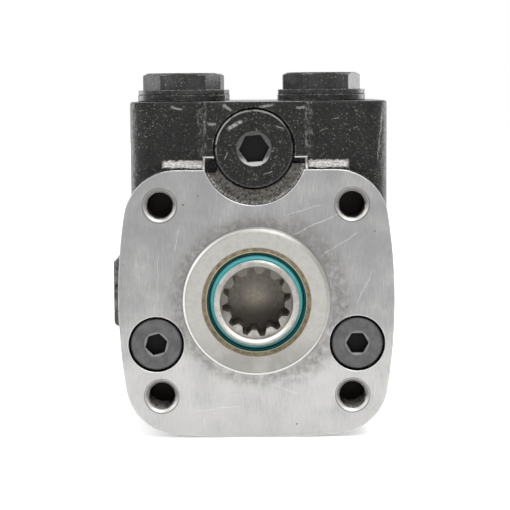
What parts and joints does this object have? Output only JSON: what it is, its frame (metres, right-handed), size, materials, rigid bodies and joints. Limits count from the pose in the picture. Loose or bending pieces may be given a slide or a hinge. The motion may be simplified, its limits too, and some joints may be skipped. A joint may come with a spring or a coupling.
{
  "type": "orbital steering unit",
  "caption": "Hydraulic steering unit: cast housing with column flange, rotary spool valve, cardan-driven gerotor set, end cover and plugged top ports.",
  "frame": {"origin": "centre of the machined mounting flange face, on the spool axis", "axes": "+Y along the spool axis from the flange towards the end cover, +Z towards the ports, +X to the right seen from the steering column"},
  "size_m": [0.0867, 0.1525, 0.1113],
  "materials": {
    "housing_paint": "grey iron casting, semi-gloss black paint, flange face and pilot boss machined bare",
    "cover_paint": "turned iron, semi-gloss black paint",
    "black_paint": "steel painted black after assembly",
    "washer_paint": "bonded steel and rubber washer, painted over",
    "copper": "soft copper sealing washer",
    "oxide_steel": "steel, black oxide",
    "seal_rubber": "nitrile rubber",
    "seal_teal": "teal polyurethane wiper",
    "ptfe": "filled fluoropolymer ring",
    "seal_case": "dull olive brown steel case",
    "spool_steel": "ground steel",
    "ground_steel": "ground and hardened steel",
    "spring_steel": "oil-tempered spring steel",
    "screw_steel": "plain steel"
  },
  "bodies": {
    "housing_assembly": {"housing": "housing_paint", "distributor_plate": "cover_paint", "gear_ring": "cover_paint", "end_cover": "cover_paint", "cover_screws": "black_paint", "check_valve_screw": "black_paint", "cover_screw_washers": "copper", "housing_face_seal": "seal_rubber", "ring_front_seal": "seal_rubber", "ring_rear_seal": "seal_rubber", "check_valve_bush": "screw_steel", "relief_valve_plug": "black_paint", "relief_plug_washer": "copper", "relief_adjusting_screw": "screw_steel", "relief_spring": "spring_steel", "shock_valve_plug_left": "oxide_steel", "shock_valve_plug_right": "oxide_steel", "shock_plug_washer_left": "copper", "shock_plug_washer_right": "copper", "shock_adjusting_screw_left": "screw_steel", "shock_adjusting_screw_right": "screw_steel", "shock_spring_left": "spring_steel", "shock_spring_right": "spring_steel", "port_plug_left_front": "black_paint", "port_plug_right_front": "black_paint", "port_plug_left_rear": "black_paint", "port_plug_right_rear": "black_paint", "port_washer_left_front": "washer_paint", "port_washer_right_front": "washer_paint", "port_washer_left_rear": "washer_paint", "port_washer_right_rear": "washer_paint", "dust_seal": "seal_teal", "dust_seal_case": "seal_case", "shaft_seal_ring": "ptfe", "shaft_seal_backing_ring": "seal_rubber", "bearing_outer_race": "ground_steel", "suction_pin_left": "screw_steel", "suction_pin_right": "screw_steel"},
    "valve_sleeve": {"sleeve": "ground_steel", "cross_pin": "ground_steel", "bearing_inner_race": "ground_steel", "retaining_ring": "ground_steel", "centring_springs": "spring_steel"},
    "valve_spool": {"spool": "spool_steel"},
    "thrust_needles": {"needle_cage": "ground_steel", "needle_rollers": "ground_steel"},
    "orbit_spacer": {"spacer": "ground_steel"},
    "gear_rotor": {"rotor": "ground_steel"},
    "cardan": {"cardan_shaft": "ground_steel"},
    "relief_piston": {"relief_piston": "ground_steel"},
    "shock_ball_left": {"shock_ball_left": "ground_steel"},
    "shock_ball_right": {"shock_ball_right": "ground_steel"},
    "check_ball": {"check_ball": "ground_steel"},
    "suction_ball_left": {"suction_ball_left": "ground_steel"},
    "suction_ball_right": {"suction_ball_right": "ground_steel"}
  },
  "joints": [
    {"name": "sleeve_spin", "type": "hinge", "parent": "housing_assembly", "child": "valve_sleeve", "pos_m": [0, 0.05, 0], "axis": [0, -1, 0], "continuous": true},
    {"name": "spool_turn", "type": "hinge", "parent": "valve_sleeve", "child": "valve_spool", "pos_m": [0, 0.05, 0], "axis": [0, -1, 0], "range_deg": [-8, 8], "stiffness_Nm_per_rad": 2, "deforming": ["centring_springs"]},
    {"name": "needle_roll", "type": "hinge", "parent": "housing_assembly", "child": "thrust_needles", "pos_m": [0, 0.0125, 0], "axis": [0, -1, 0], "continuous": true},
    {"name": "orbit", "type": "hinge", "parent": "housing_assembly", "child": "orbit_spacer", "pos_m": [0, 0.1131, 0], "axis": [0, -1, 0], "continuous": true},
    {"name": "rotor_spin", "type": "hinge", "parent": "orbit_spacer", "child": "gear_rotor", "pos_m": [0, 0.1131, 0.0036], "axis": [0, -1, 0], "continuous": true},
    {"name": "cardan_spin", "type": "hinge", "parent": "orbit_spacer", "child": "cardan", "pos_m": [0, 0.033, 0], "axis": [0, -0.999, -0.0449], "continuous": true},
    {"name": "relief_lift", "type": "slide", "parent": "housing_assembly", "child": "relief_piston", "axis": [0, -1, 0], "range_m": [0, 0.002], "stiffness_N_per_m": 20000, "deforming": ["relief_spring"]},
    {"name": "shock_lift_left", "type": "slide", "parent": "housing_assembly", "child": "shock_ball_left", "axis": [0, -1, 0], "range_m": [0, 0.0015], "stiffness_N_per_m": 15000, "deforming": ["shock_spring_left"]},
    {"name": "shock_lift_right", "type": "slide", "parent": "housing_assembly", "child": "shock_ball_right", "axis": [0, -1, 0], "range_m": [0, 0.0015], "stiffness_N_per_m": 15000, "deforming": ["shock_spring_right"]},
    {"name": "check_ball_lift", "type": "slide", "parent": "housing_assembly", "child": "check_ball", "axis": [0, 1, 0], "range_m": [0, 0.002]},
    {"name": "suction_lift_left", "type": "slide", "parent": "housing_assembly", "child": "suction_ball_left", "axis": [0, 1, 0], "range_m": [0, 0.0015]},
    {"name": "suction_lift_right", "type": "slide", "parent": "housing_assembly", "child": "suction_ball_right", "axis": [0, 1, 0], "range_m": [0, 0.0015]}
  ],
  "couplings": [
    {"joint": "needle_roll", "follows": "sleeve_spin", "ratio": 0.5},
    {"joint": "orbit", "follows": "sleeve_spin", "ratio": -6},
    {"joint": "rotor_spin", "follows": "sleeve_spin", "ratio": 7},
    {"joint": "cardan_spin", "follows": "sleeve_spin", "ratio": 7}
  ]
}
